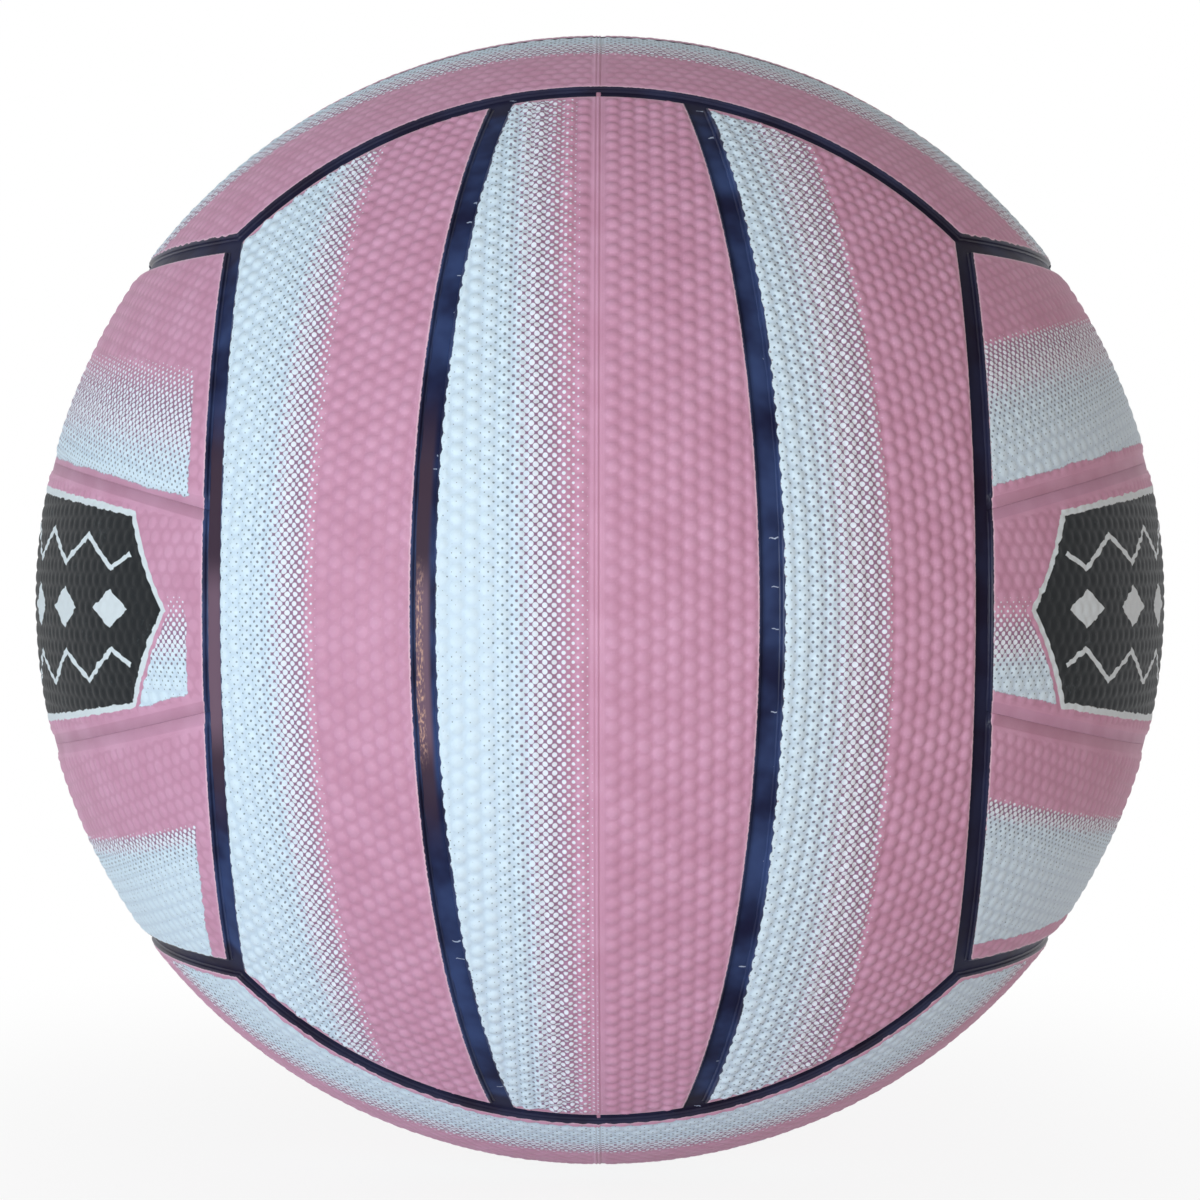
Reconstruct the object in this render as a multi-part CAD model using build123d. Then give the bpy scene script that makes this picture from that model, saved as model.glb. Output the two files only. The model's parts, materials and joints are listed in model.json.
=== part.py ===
from build123d import *

import os
from math import acos, degrees, radians, sqrt, tan

# Netball: eighteen rubber panels bonded round a wound, airtight core, with a plug valve at the back.
# Millimetres. The origin is the ball's centre, +Z is up, and the front is -Y, where three panels
# stand upright. The valve is in the middle of the back, on the +Y axis.

# Driving dimensions: the ball, 700 mm round, and its layers from the outside in
BALL_DIAMETER = 222.8
COVER_THICKNESS = 1.2
CARCASS_THICKNESS = 0.4
WINDING_THICKNESS = 0.3
BLADDER_THICKNESS = 0.7
BOND_FILM = 0.1

# Driving dimensions: the panels and the channels between them
CHANNEL_WIDTH = 3.5
MIDDLE_PANEL_HALF_ANGLE = 14.5
PANEL_EDGE_ROUND = 0.5

# Driving dimensions: the valve
PLUG_HEAD_RADIUS = 3.5
PLUG_RECESS = 0.3
PLUG_STEM_RADIUS = 2.6
PLUG_STEM_LENGTH = 15.0
PLUG_TIP_CHAMFER = 0.8
PLUG_FIT_CLEARANCE = 0.05
PLUG_SEAT_CLEARANCE = 0.05
NEEDLE_BORE_RADIUS = 1.05
NEEDLE_BORE_DEPTH = 12.0
NEEDLE_LEAD_IN = 0.4
VALVE_OPENING_CLEARANCE = 0.3
HOUSING_WALL = 2.9
HOUSING_TAIL = 1.5
FLANGE_WIDTH = 7.0
FLANGE_THICKNESS = 1.0

# Radii of the nested layers, each bonded to the next by a film of rubber cement
BALL_RADIUS = BALL_DIAMETER / 2
COVER_INNER_RADIUS = BALL_RADIUS - COVER_THICKNESS
CARCASS_RADIUS = COVER_INNER_RADIUS - BOND_FILM
WINDING_RADIUS = CARCASS_RADIUS - CARCASS_THICKNESS - BOND_FILM
BLADDER_RADIUS = WINDING_RADIUS - WINDING_THICKNESS - BOND_FILM
FLANGE_OUTER_RADIUS = BLADDER_RADIUS - BLADDER_THICKNESS - BOND_FILM

# The channels round a face meet where a cube's corners point, seen from the centre of the ball
FACE_HALF_ANGLE = degrees(acos(1 / sqrt(3)))
CHANNEL_HALF_ANGLE = degrees(CHANNEL_WIDTH / 2 / BALL_RADIUS)
CUTTER_REACH = 1.5 * BALL_RADIUS
SAME_POINT = 1e-4

# The valve, with heights measured along its axis from the centre of the ball
HOUSING_BORE_RADIUS = PLUG_STEM_RADIUS + PLUG_FIT_CLEARANCE
HOUSING_RADIUS = HOUSING_BORE_RADIUS + HOUSING_WALL
HOUSING_TOP = sqrt(COVER_INNER_RADIUS**2 - HOUSING_RADIUS**2) - BOND_FILM
HOUSING_BOTTOM = HOUSING_TOP - PLUG_STEM_LENGTH - HOUSING_TAIL
PLUG_TOP = BALL_RADIUS - PLUG_RECESS
PLUG_SHOULDER = HOUSING_TOP + PLUG_SEAT_CLEARANCE
PLUG_BOTTOM = PLUG_SHOULDER - PLUG_STEM_LENGTH
VALVE_AXIS = Plane(origin=(0, 0, 0), x_dir=(1, 0, 0), z_dir=(0, 1, 0))

# Each face: the way out of the ball, the way across its three panels, and the panels' names
# in that order. The panels run along the third direction.
FACES = {
    "front": ((0, -1, 0), (1, 0, 0), ("left", "middle", "right")),
    "back": ((0, 1, 0), (1, 0, 0), ("left", "middle", "right")),
    "left": ((-1, 0, 0), (0, 0, 1), ("lower", "middle", "upper")),
    "right": ((1, 0, 0), (0, 0, 1), ("lower", "middle", "upper")),
    "top": ((0, 0, 1), (0, 1, 0), ("front", "middle", "rear")),
    "bottom": ((0, 0, -1), (0, 1, 0), ("front", "middle", "rear")),
}
VALVE_PANEL = "back_middle_panel"

# Cutters stand on the ball's centre
STANDING = (Align.CENTER, Align.CENTER, Align.MIN)


def shell(outer_radius, thickness):
    """A hollow ball, with the poles of its surfaces on the Y axis."""
    return Rot(90, 0, 0) * (Sphere(outer_radius) - Sphere(outer_radius - thickness))


def cone_from_centre(half_angle):
    """A cone with its tip at the ball's centre, opening along +Z past the cover."""
    mouth_radius = CUTTER_REACH * tan(radians(half_angle))
    return Cone(0, mouth_radius, CUTTER_REACH, align=STANDING)


def valve_hole(radius):
    """A cylinder along the valve's axis, from the ball's centre out past the cover."""
    hole = Cylinder(radius, CUTTER_REACH, align=STANDING)
    return VALVE_AXIS * hole


def valve_turning(profile):
    """A round piece on the valve's axis. In the profile, X is the radius and Y the height."""
    return VALVE_AXIS * revolve(Plane.XZ * profile, Axis.Z)


def band(inner_radius, outer_radius, low, high):
    """A rectangle of a turned profile, between two radii and two heights."""
    middle = Pos((inner_radius + outer_radius) / 2, (low + high) / 2)
    return middle * Rectangle(outer_radius - inner_radius, high - low)


def lowest_point(edge):
    """How near an edge's ends come to the ball's centre."""
    return min(vertex.center().length for vertex in edge.vertices())


def face_panels():
    """The three panels of a face that looks along +Z, side by side along X and running along Y."""
    face = shell(BALL_RADIUS, COVER_THICKNESS) & cone_from_centre(FACE_HALF_ANGLE - CHANNEL_HALF_ANGLE)
    neighbour = cone_from_centre(FACE_HALF_ANGLE + CHANNEL_HALF_ANGLE)
    channel = Box(CHANNEL_WIDTH, 2 * CUTTER_REACH, CUTTER_REACH, align=STANDING)
    for side in (1, -1):
        face -= Rot(0, side * 90, 0) * neighbour
        face -= Rot(0, side * MIDDLE_PANEL_HALF_ANGLE, 0) * channel
    rim = [edge for edge in face.edges() if lowest_point(edge) > BALL_RADIUS - SAME_POINT]
    return fillet(rim, PANEL_EDGE_ROUND).solids().sort_by(Axis.X)


def cover_panels():
    """All the panels, as a dict from name to solid."""
    panels = {}
    blanks = face_panels()
    for face, (outwards, across, places) in FACES.items():
        side = Plane(origin=(0, 0, 0), x_dir=across, z_dir=outwards)
        for place, blank in zip(places, blanks):
            panels[f"{face}_{place}_panel"] = side * blank
    panels[VALVE_PANEL] -= valve_hole(PLUG_HEAD_RADIUS + VALVE_OPENING_CLEARANCE)
    return panels


def core_layers():
    """The carcass, the winding and the bladder, each with a hole for the valve's neck."""
    neck = valve_hole(HOUSING_RADIUS + VALVE_OPENING_CLEARANCE)
    return {
        "carcass": shell(CARCASS_RADIUS, CARCASS_THICKNESS) - neck,
        "thread_winding": shell(WINDING_RADIUS, WINDING_THICKNESS) - neck,
        "bladder": shell(BLADDER_RADIUS, BLADDER_THICKNESS) - neck,
    }


def valve_housing():
    """The rubber boss: a neck up to the cover, a stem into the ball and a flange on the bladder."""
    flange = Circle(FLANGE_OUTER_RADIUS) - Circle(FLANGE_OUTER_RADIUS - FLANGE_THICKNESS)
    flange &= band(HOUSING_BORE_RADIUS, HOUSING_RADIUS + FLANGE_WIDTH, 0, FLANGE_OUTER_RADIUS)
    stem = band(HOUSING_BORE_RADIUS, HOUSING_RADIUS, HOUSING_BOTTOM, HOUSING_TOP)
    return valve_turning(stem + flange)


def valve_plug():
    """The push-in plug: a head under the cover's face, a stem in the housing and a needle bore."""
    head = band(0, PLUG_HEAD_RADIUS, PLUG_SHOULDER, PLUG_TOP)
    stem = band(0, PLUG_STEM_RADIUS, PLUG_BOTTOM, PLUG_SHOULDER)
    bore = band(0, NEEDLE_BORE_RADIUS, PLUG_TOP - NEEDLE_BORE_DEPTH, PLUG_TOP)
    plug = valve_turning(head + stem - bore)
    tip = plug.edges().sort_by(Axis.Y)[0]
    plug = chamfer(tip, PLUG_TIP_CHAMFER)
    mouth = plug.edges().group_by(Axis.Y)[-1].sort_by(SortBy.RADIUS)[0]
    return chamfer(mouth, NEEDLE_LEAD_IN)


nodes = {
    **cover_panels(),
    **core_layers(),
    "valve_housing": valve_housing(),
    "valve_plug": valve_plug(),
}
os.makedirs("parts", exist_ok=True)
for name, solid in nodes.items():
    export_step(solid, f"parts/{name}.step")
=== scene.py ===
import json
from math import acos, asin, ceil, cos, pi, radians, sin, sqrt

import bmesh
import bpy
import numpy as np
from mathutils import Color, Matrix, Vector

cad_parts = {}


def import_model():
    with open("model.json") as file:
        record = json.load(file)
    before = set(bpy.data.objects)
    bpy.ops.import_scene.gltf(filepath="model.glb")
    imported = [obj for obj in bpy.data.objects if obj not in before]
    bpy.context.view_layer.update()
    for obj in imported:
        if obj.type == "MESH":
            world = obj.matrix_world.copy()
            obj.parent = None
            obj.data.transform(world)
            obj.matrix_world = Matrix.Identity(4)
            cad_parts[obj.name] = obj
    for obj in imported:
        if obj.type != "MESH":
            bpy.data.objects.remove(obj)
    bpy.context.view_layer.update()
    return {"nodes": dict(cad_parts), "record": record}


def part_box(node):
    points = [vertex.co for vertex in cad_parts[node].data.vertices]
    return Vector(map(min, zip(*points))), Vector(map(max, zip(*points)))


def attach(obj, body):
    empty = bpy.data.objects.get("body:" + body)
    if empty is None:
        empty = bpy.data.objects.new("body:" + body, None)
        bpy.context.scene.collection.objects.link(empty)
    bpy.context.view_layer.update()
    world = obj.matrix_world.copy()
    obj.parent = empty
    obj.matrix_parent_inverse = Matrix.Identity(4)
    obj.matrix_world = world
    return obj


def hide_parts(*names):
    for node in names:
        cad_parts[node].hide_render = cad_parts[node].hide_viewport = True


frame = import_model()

# Bladder
# A seamless balloon of black butyl rubber, moulded and cured, that holds the air. It is dusted with
# talc so that it doesn't stick to the winding over it.
MM = 0.001
BUTYL = (34, 34, 36)
TALC = (78, 76, 74)
DUST_CLOUDS = 90
DUST_RANGE = (-0.1, 0.25)
DUSTY_ROUGH = (0.25, 0.65)
MOULD_GRAIN = 1800
MOULD_DEPTH = 0.05 * MM
RELIEF_STRENGTH = 0.4

# How many finer layers each kind of noise has
CLOUD_DETAIL = 2
GRAIN_DETAIL = 3
DUST_DETAIL = 4


def display(red, green, blue):
    """A colour as it looks on a screen, from 0 to 255, for a shader's socket."""
    shown = Color([part / 255 for part in (red, green, blue)])
    return [*shown.from_srgb_to_scene_linear(), 1]


def new_material(name):
    """A material with one shader, its node tree and that shader."""
    material = bpy.data.materials.new(name)
    material.use_nodes = True
    return material, material.node_tree, material.node_tree.nodes["Principled BSDF"]


def add_node(tree, kind, inputs, **settings):
    """A node with its settings made, and its inputs set to values or joined to other nodes."""
    made = tree.nodes.new("ShaderNode" + kind)
    for name, value in settings.items():
        setattr(made, name, value)
    for name, value in inputs.items():
        if isinstance(value, bpy.types.NodeSocket):
            tree.links.new(value, made.inputs[name])
        else:
            made.inputs[name].default_value = value
    return made


def maths(tree, operation, *values):
    """A sum of values or other nodes' outputs."""
    return add_node(tree, "Math", dict(enumerate(values)), operation=operation).outputs[0]


def vectors(tree, operation, *values):
    """A sum of vectors or other nodes' outputs."""
    return add_node(tree, "VectorMath", dict(enumerate(values)), operation=operation)


def rise(tree, value, low, high):
    """0 below low, 1 above high, and a smooth rise between them."""
    inputs = {"Value": value, "From Min": low, "From Max": high}
    return add_node(tree, "MapRange", inputs, interpolation_type="SMOOTHSTEP").outputs[0]


def drop(tree, value, low, high):
    """1 below low, 0 above high, and a smooth drop between them."""
    return maths(tree, "SUBTRACT", 1, rise(tree, value, low, high))


def swung(tree, noise, swing, middle):
    """A value that swings about its middle with the noise."""
    return maths(tree, "MULTIPLY_ADD", noise, swing, middle)


def blended(tree, share, first, second):
    """A colour that goes from the first to the second with the share."""
    return add_node(tree, "Mix", {0: share, 6: first, 7: second}, data_type="RGBA").outputs[2]


def cloudy(tree, place, scale, detail=CLOUD_DETAIL):
    """Soft noise from about -0.5 to 0.5."""
    noise = add_node(tree, "TexNoise", {"Vector": place, "Scale": scale, "Detail": detail})
    return maths(tree, "SUBTRACT", noise.outputs["Fac"], 0.5)


def own_place(tree):
    """Where a point lies in its object's own coordinates."""
    return add_node(tree, "TexCoord", {}).outputs["Object"]


def finish_surface(tree, shader, colour, rough, height, depth):
    """Joins a surface's colour, roughness and relief to its shader."""
    tree.links.new(colour, shader.inputs["Base Color"])
    tree.links.new(rough, shader.inputs["Roughness"])
    bump = add_node(tree, "Bump", {"Height": height, "Strength": RELIEF_STRENGTH, "Distance": depth})
    tree.links.new(bump.outputs[0], shader.inputs["Normal"])


def dusty_rubber(name, colour, dust):
    """Moulded rubber, cloudy with dust."""
    material, tree, shader = new_material(name)
    place = own_place(tree)
    cloud = cloudy(tree, place, DUST_CLOUDS, DUST_DETAIL)
    colour = blended(tree, rise(tree, cloud, *DUST_RANGE), display(*colour), display(*dust))
    grain = cloudy(tree, place, MOULD_GRAIN, GRAIN_DETAIL)
    finish_surface(tree, shader, colour, swung(tree, cloud, *DUSTY_ROUGH), grain, MOULD_DEPTH)
    return material


def dress_node(name, material):
    """Gives a CAD piece its finish."""
    piece = frame["nodes"][name]
    piece.data.materials.clear()
    piece.data.materials.append(material)


dress_node("bladder", dusty_rubber("butyl_with_talc", BUTYL, TALC))

# Valve housing
# A boss of harder rubber with a thin flange, vulcanised to the inside of the bladder. Its neck
# comes up through every layer to the cover, and its bore grips the plug.
HOUSING_RUBBER = (26, 26, 28)
HOUSING_DUST = (52, 51, 50)

dress_node("valve_housing", dusty_rubber("valve_housing_rubber", HOUSING_RUBBER, HOUSING_DUST))

# Thread winding
# Nylon thread dipped in latex and wound round and round the bladder in every direction, so that
# the ball stays round. The turns lie side by side in crossing bands.
THREAD = (205, 192, 160)
# The colour between and under the turns, darker as painted shade in the grooves
THREAD_GAP_SHADE = (120, 104, 78)
THREAD_PITCH = 0.9 * MM
THREAD_WANDER = 25
THREAD_HEIGHTS = (0.02, 0.3)
THREAD_ROUGH = (0.3, 0.6)
THREAD_DEPTH = 0.3 * MM
HALF_TURN = 0.5
BAND_EDGE = (-0.05, 0.02)

# Each band: the way across its turns, how far they wander, and the scale of the patches that it covers
BANDS = (
    ((1, 0.35, 0.2), 1, 14),
    ((-0.3, 1, 0.4), 2, 19),
    ((0.25, -0.4, 1), 3, 24),
)


def wound_thread(name):
    """Bands of thread that cross, the band on top changing from place to place, painted darker in the
    grooves between and under the turns as shade.
    """
    material, tree, shader = new_material(name)
    place = own_place(tree)
    wander = cloudy(tree, place, THREAD_WANDER)
    height = 0
    for way, strays, patches in BANDS:
        across = vectors(tree, "DOT_PRODUCT", place, Vector(way).normalized()).outputs["Value"]
        turns = swung(tree, wander, strays, maths(tree, "DIVIDE", across, THREAD_PITCH))
        thread = maths(tree, "PINGPONG", turns, HALF_TURN)
        layer = rise(tree, cloudy(tree, place, patches), *BAND_EDGE)
        height = maths(tree, "MAXIMUM", height, maths(tree, "MULTIPLY", thread, layer))
    colour = blended(tree, rise(tree, height, *THREAD_HEIGHTS), display(*THREAD_GAP_SHADE), display(*THREAD))
    finish_surface(tree, shader, colour, swung(tree, wander, *THREAD_ROUGH), height, THREAD_DEPTH)
    return material


dress_node("thread_winding", wound_thread("wound_thread"))

# Carcass
# A thin layer of rubber calendered over the winding, which the panels are bonded to. It shows as
# the floor of the channels, which is brushed with navy paint.
CARCASS_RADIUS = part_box("carcass")[1].z
CARCASS_THICKNESS = 0.4 * MM
CARCASS_ROUND = 128
VALVE_NECK = 5.85 * MM
SAME_PLACE = 1e-7
CHANNEL_WIDTH = 3.5 * MM
SEAM_ANGLE = radians(14.5)
# Navy paint in two tones that change in patches; the lighter tone is partly a painted sheen
NAVY = display(58, 74, 118)
NAVY_DEEP = display(30, 32, 60)
# A darker navy, painted shade for the channels on the top, the bottom and the right
NAVY_SHADE = display(32, 24, 40)
PAINT_PATCHES = 90
PATCH_BLUR = 0.2
PAINT_CLOUDS = 350
PAINT_ROUGH = (0.2, 0.36)
PAINT_DEPTH = 0.06 * MM
PAINT_SHINE = 0.02

# Where the paint is darker as painted shade: in the channels that run from front to back, and on the right
SHADE_RUNS = (66 * MM, 68 * MM)
SHADE_RIGHT = (58 * MM, 61 * MM)
SHADE_SHARE = 0.75

# Where the paint is broken: along the parting line of the mould, and in one channel, where it is
# rubbed brown and partly darkened as painted shade, and scuffed to copper streaks that are partly painted
# glints, each from where it comes in to where it goes out again
PARTING_PINK = display(196, 144, 170)
PARTING_BARE = (0.25 * MM, 0.4 * MM)
PARTING_RAGGED = 0.5 * MM
PARTING_ROUGH = 0.55
RUBBED_SHADED_PAINT = display(68, 54, 68)
RUBBED_ACROSS = (0.3 * MM, 1.3 * MM)
RUBBED_HEIGHT = ((-42 * MM, -24 * MM), (22 * MM, 38 * MM))
SCUFF_BROWN = display(122, 98, 116)
SCUFF_SHARE = 0.8
SCUFF_GRAIN = 3600
SCUFF_STRETCH = (1, 1, 0.3)
STREAK_RANGE = (-0.06, 0.2)
COPPER_GLINT = display(206, 166, 148)
SCUFF_ACROSS = ((-2 * MM, -1.6 * MM), (-0.6 * MM, 0.1 * MM))
SCUFF_HEIGHT = ((-26 * MM, -18 * MM), (2 * MM, 10 * MM))
FRONT_LEFT = (-10 * MM, -5 * MM)

# The hair lines of white ink in the channels: one to a cell, with some of them missing
HAIR_INK = display(168, 180, 206)
HAIR_CELL = 4.2 * MM
HAIR_HALF = 0.11 * MM
HAIR_REACH = 1.9 * MM
HAIR_TAPER = 0.2 * MM
HAIR_WAVER = 0.5
HAIRS_MISSING = 0.55


def cut_away(model, normal, offset):
    """Cuts off what lies past a plane at a distance from the ball's centre."""
    bmesh.ops.bisect_plane(
        model,
        geom=model.verts[:] + model.edges[:] + model.faces[:],
        dist=SAME_PLACE,
        plane_co=normal * offset,
        plane_no=normal,
        clear_outer=True,
    )


def finished(model, name):
    """The mesh of a model that is done."""
    mesh = bpy.data.meshes.new(name)
    model.to_mesh(mesh)
    model.free()
    return mesh


shell = bmesh.new()
bmesh.ops.create_uvsphere(
    shell,
    u_segments=CARCASS_ROUND,
    v_segments=CARCASS_ROUND // 2,
    radius=CARCASS_RADIUS,
    matrix=Matrix.Rotation(-pi / 2, 4, "X"),
)
cut_away(shell, Vector((0, 1, 0)), sqrt(CARCASS_RADIUS**2 - VALVE_NECK**2))
bmesh.ops.recalc_face_normals(shell, faces=shell.faces)
bmesh.ops.solidify(shell, geom=shell.faces[:], thickness=CARCASS_THICKNESS)
carcass_mesh = finished(shell, "channel_carcass")
carcass_mesh.shade_smooth()


def product(tree, first, *others):
    """Values or other nodes' outputs, multiplied together."""
    for other in others:
        first = maths(tree, "MULTIPLY", first, other)
    return first


def between(tree, value, start, stop):
    """1 between two places, with a smooth way in at the first and out at the second."""
    return product(tree, rise(tree, value, *start), drop(tree, value, *stop))


def past(tree, value, limit, blur):
    """0 before a limit and 1 past it, with a soft edge."""
    return rise(tree, value, limit - blur, limit + blur)


def mixed(tree, share, first, second):
    """A number that goes from the first to the second with the share."""
    return add_node(tree, "Mix", {0: share, 2: first, 3: second}).outputs[0]


def parts_of(tree, vector):
    """The three parts of a vector."""
    return add_node(tree, "SeparateXYZ", {0: vector}).outputs[:3]


def flat_place(tree, first, second):
    """A vector of two parts, with nothing in its third."""
    return add_node(tree, "CombineXYZ", {0: first, 1: second, 2: 0}).outputs[0]


def seam_place(tree, x, y):
    """How far a point of the front or back lies across its upright seam, from the pink side."""
    longitude = maths(tree, "ARCTAN2", maths(tree, "ABSOLUTE", x), maths(tree, "ABSOLUTE", y))
    flat = vectors(tree, "LENGTH", flat_place(tree, x, y))
    across = maths(tree, "SUBTRACT", longitude, SEAM_ANGLE)
    front = maths(tree, "SIGN", product(tree, y, -1))
    return product(tree, across, flat.outputs["Value"], maths(tree, "SIGN", x), front)


def ink_hairs(tree, across, x, z, waver):
    """Hair lines of white ink, drawn a little way into an upright seam from its printed side."""
    cells = maths(tree, "ADD", maths(tree, "DIVIDE", z, HAIR_CELL), waver)
    cell = maths(tree, "FLOOR", cells)
    where = flat_place(tree, cell, maths(tree, "SIGN", x))
    chance = add_node(tree, "TexWhiteNoise", {"Vector": where}).outputs["Color"]
    drawn, middle, reach = parts_of(tree, chance)
    off = maths(tree, "SUBTRACT", maths(tree, "SUBTRACT", cells, cell), middle)
    half = HAIR_HALF / HAIR_CELL
    start = maths(tree, "MULTIPLY_ADD", reach, -HAIR_REACH, CHANNEL_WIDTH / 2)
    return product(
        tree,
        maths(tree, "GREATER_THAN", drawn, HAIRS_MISSING),
        drop(tree, maths(tree, "ABSOLUTE", off), half / 2, half),
        rise(tree, maths(tree, "SUBTRACT", across, start), 0, HAIR_TAPER),
        drop(tree, maths(tree, "ABSOLUTE", across), CHANNEL_WIDTH / 2, CHANNEL_WIDTH / 2 + HAIR_HALF),
    )


def paint_colour(tree):
    """Navy paint in lighter and darker patches, the lighter ones partly a painted sheen, and darkest in the
    channels on the top, the bottom and the right, as painted shade.
    """
    place = own_place(tree)
    x, y = parts_of(tree, place)[:2]
    shaded_runs = drop(tree, maths(tree, "ABSOLUTE", y), *SHADE_RUNS)
    shaded = maths(tree, "MAXIMUM", shaded_runs, rise(tree, x, *SHADE_RIGHT))
    patches = past(tree, cloudy(tree, place, PAINT_PATCHES, GRAIN_DETAIL), 0, PATCH_BLUR)
    colour = blended(tree, patches, NAVY_DEEP, NAVY)
    return blended(tree, product(tree, shaded, SHADE_SHARE), colour, NAVY_SHADE)


def channel_paint(name):
    """Navy paint on the carcass, scuffed in one channel, and broken where the mould parted."""
    material, tree, shader = new_material(name)
    place = own_place(tree)
    x, y, z = parts_of(tree, place)
    cloud = cloudy(tree, place, PAINT_CLOUDS, GRAIN_DETAIL)
    across = seam_place(tree, x, y)
    rubbed = product(
        tree,
        drop(tree, across, *RUBBED_ACROSS),
        between(tree, z, *RUBBED_HEIGHT),
        drop(tree, x, *FRONT_LEFT),
        drop(tree, y, *FRONT_LEFT),
    )
    scuffed = product(tree, rubbed, between(tree, z, *SCUFF_HEIGHT))
    long_grain = vectors(tree, "MULTIPLY", place, SCUFF_STRETCH).outputs[0]
    glint_streaks = product(
        tree,
        scuffed,
        rise(tree, cloudy(tree, long_grain, SCUFF_GRAIN), *STREAK_RANGE),
        between(tree, across, *SCUFF_ACROSS),
    )
    # The rubbed part is worn paint darkened partly as painted shade, and the copper streaks are partly
    # painted glints
    colour = blended(tree, rubbed, paint_colour(tree), RUBBED_SHADED_PAINT)
    colour = blended(tree, product(tree, scuffed, SCUFF_SHARE), colour, SCUFF_BROWN)
    colour = blended(tree, glint_streaks, colour, COPPER_GLINT)
    hairs = ink_hairs(tree, across, x, z, product(tree, cloud, HAIR_WAVER))
    colour = blended(tree, hairs, colour, HAIR_INK)
    ragged = swung(tree, cloud, PARTING_RAGGED, maths(tree, "ABSOLUTE", x))
    parting = drop(tree, ragged, *PARTING_BARE)
    colour = blended(tree, parting, colour, PARTING_PINK)
    rough = mixed(tree, parting, swung(tree, cloud, *PAINT_ROUGH), PARTING_ROUGH)
    finish_surface(tree, shader, colour, rough, cloud, PAINT_DEPTH)
    shader.inputs["Specular IOR Level"].default_value = PAINT_SHINE
    return material


def put_in_scene(name, data):
    """A new object in the scene, with its mesh, its light or its lens."""
    made = bpy.data.objects.new(name, data)
    bpy.context.scene.collection.objects.link(made)
    return made


def show(mesh, name, materials, body, slot, *nodes):
    """Puts a finished mesh in the scene as a piece that stands for its CAD nodes."""
    for material in materials:
        mesh.materials.append(material)
    piece = put_in_scene(name, mesh)
    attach(piece, body)
    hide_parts(*nodes)


show(carcass_mesh, "channel_carcass", [channel_paint("channel_paint")], "ball", "channel_paint", "carcass")

# Cover panels
# Eighteen panels of pink rubber, three to each face of a cube drawn on the ball. They are moulded
# with pebbles, printed with a white dot fade, and bonded to the carcass with channels between them.
mounts = {mount["name"]: mount for mount in frame["record"]["mounts"]}
BALL_RADIUS = -mounts["resting_point"]["pos_m"][2]
CHANNEL_ANGLE = CHANNEL_WIDTH / 2 / BALL_RADIUS
FACE_ANGLE = acos(1 / sqrt(3))

# Each face: the way out of the ball, the way across its three panels, and their names in that order
FACES = {
    "front": ((0, -1, 0), (1, 0, 0), ("left", "middle", "right")),
    "back": ((0, 1, 0), (1, 0, 0), ("left", "middle", "right")),
    "left": ((-1, 0, 0), (0, 0, 1), ("lower", "middle", "upper")),
    "right": ((1, 0, 0), (0, 0, 1), ("lower", "middle", "upper")),
    "top": ((0, 0, 1), (0, 1, 0), ("front", "middle", "rear")),
    "bottom": ((0, 0, -1), (0, 1, 0), ("front", "middle", "rear")),
}
SIDES = (-1, 0, 1)
SIDE_FACES = ("left", "right")
UPRIGHT_FACES = ("front", "back")

# Each face's print, in millimetres: the side of each panel that is white, how far the print stays
# from the panels' ends, how far it has slid along them, how far it stays from each panel's white
# edge, and how far each panel's fade has moved towards the pink
PRINTS = {
    "front": (-1, 1.4, 0, (0, 0, 0), (0, 0, 0)),
    "back": (1, 1.4, 0, (0, 0, 0), (0, 0, 0)),
    "left": (-1, 0.7, 3.5, (0, 1.9, -0.7), (0.6, 2, 0)),
    "right": (-1, 0.7, 0.4, (4.4, 2.1, 2.0), (5, 5.5, 9)),
    "top": (1, 0.6, 0, (-0.3, -0.3, -0.3), (0, 0, 0)),
    "bottom": (-1, 1.2, 0, (1.6, 1.6, 1.6), (0, 0, 0)),
}

# The fade on an outer panel that is white at its outer edge, on a middle panel, and on an outer
# panel that is white at its seam: where it starts and ends, measured across from the seam or the
# middle line, how far it leans along the panel, and its tones from white, 1, to pink, 0. Three outer
# panels of the sides have fades of their own.
FADES = {
    -1: (-40 * MM, -19 * MM, 0, ((0, 1), (0.29, 0.94), (0.56, 0.83), (0.71, 0.66), (0.86, 0.45), (1, 0))),
    0: (-19 * MM, -1.2 * MM, -0.02, ((0, 1), (0.26, 0.89), (0.49, 0.7), (0.72, 0.4), (0.9, 0.12), (1, 0))),
    1: (0, 21.5 * MM, -0.02, ((0, 0.99), (0.3, 0.88), (0.5, 0.79), (0.7, 0.62), (0.93, 0.4), (1, 0))),
}
SHORT_FADE = (-33 * MM, -19 * MM, 0, ((0, 1), (0.45, 0.94), (0.7, 0.83), (0.86, 0.6), (0.94, 0.4), (1, 0)))
PALE_FADE = (0, 21.5 * MM, -0.02, ((0, 0.9), (0.3, 0.76), (0.5, 0.6), (0.7, 0.45), (0.9, 0.22), (1, 0)))
OWN_FADES = {("left", -1): SHORT_FADE, ("right", -1): SHORT_FADE, ("left", 1): PALE_FADE}

# The pebbles stand in columns along a panel, each column half a pebble on from the last. They are
# lower on the faces round the front and the back.
PEBBLE_COLUMN = 2.5 * MM
PEBBLE_PITCH = 2.8 * MM
PEBBLE_RADIUS = 1.28 * MM
PEBBLE_HEIGHT = 0.48 * MM
PEBBLE_CURVE = 1.15
LOW_PEBBLES = 0.45
PEBBLE_STEPS = 6
PEBBLE_START = (0.05 * MM, 0.7 * MM)
LAND_RADIUS = BALL_RADIUS - PEBBLE_HEIGHT
ON_LAND = 100 * SAME_PLACE

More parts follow.
